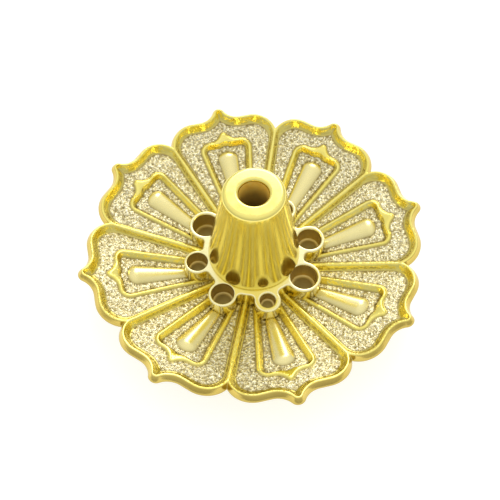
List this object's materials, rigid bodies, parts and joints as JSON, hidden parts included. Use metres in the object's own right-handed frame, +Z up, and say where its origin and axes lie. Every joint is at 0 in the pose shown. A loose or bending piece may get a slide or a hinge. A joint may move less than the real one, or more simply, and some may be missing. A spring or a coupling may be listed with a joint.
{
  "type": "incense stick holder",
  "caption": "Gold-coloured lotus saucer with a ring of graded stick sockets round a lift-out tapered tower; holds incense sticks upright and catches their ash.",
  "frame": {"origin": "centre of the foot ring, on the plane it stands on", "axes": "+Z up along the axis of the saucer and tower; +X out along the middle of one petal, with other petals on -X, +Y and -Y"},
  "size_m": [0.0588, 0.0588, 0.0226],
  "materials": {
    "cast_gold": "gold-plated casting, polished on rim, ridges and hub, grained on the petal floors",
    "mirror_gold": "gold plate polished to a mirror"
  },
  "bodies": {
    "saucer": {"lotus_plate": "cast_gold"},
    "tower": {"incense_tower": "mirror_gold"}
  },
  "joints": [
    {"name": "tower_lift", "type": "slide", "parent": "saucer", "child": "tower", "axis": [0, 0, 1], "range_m": [0, 0.012]}
  ]
}
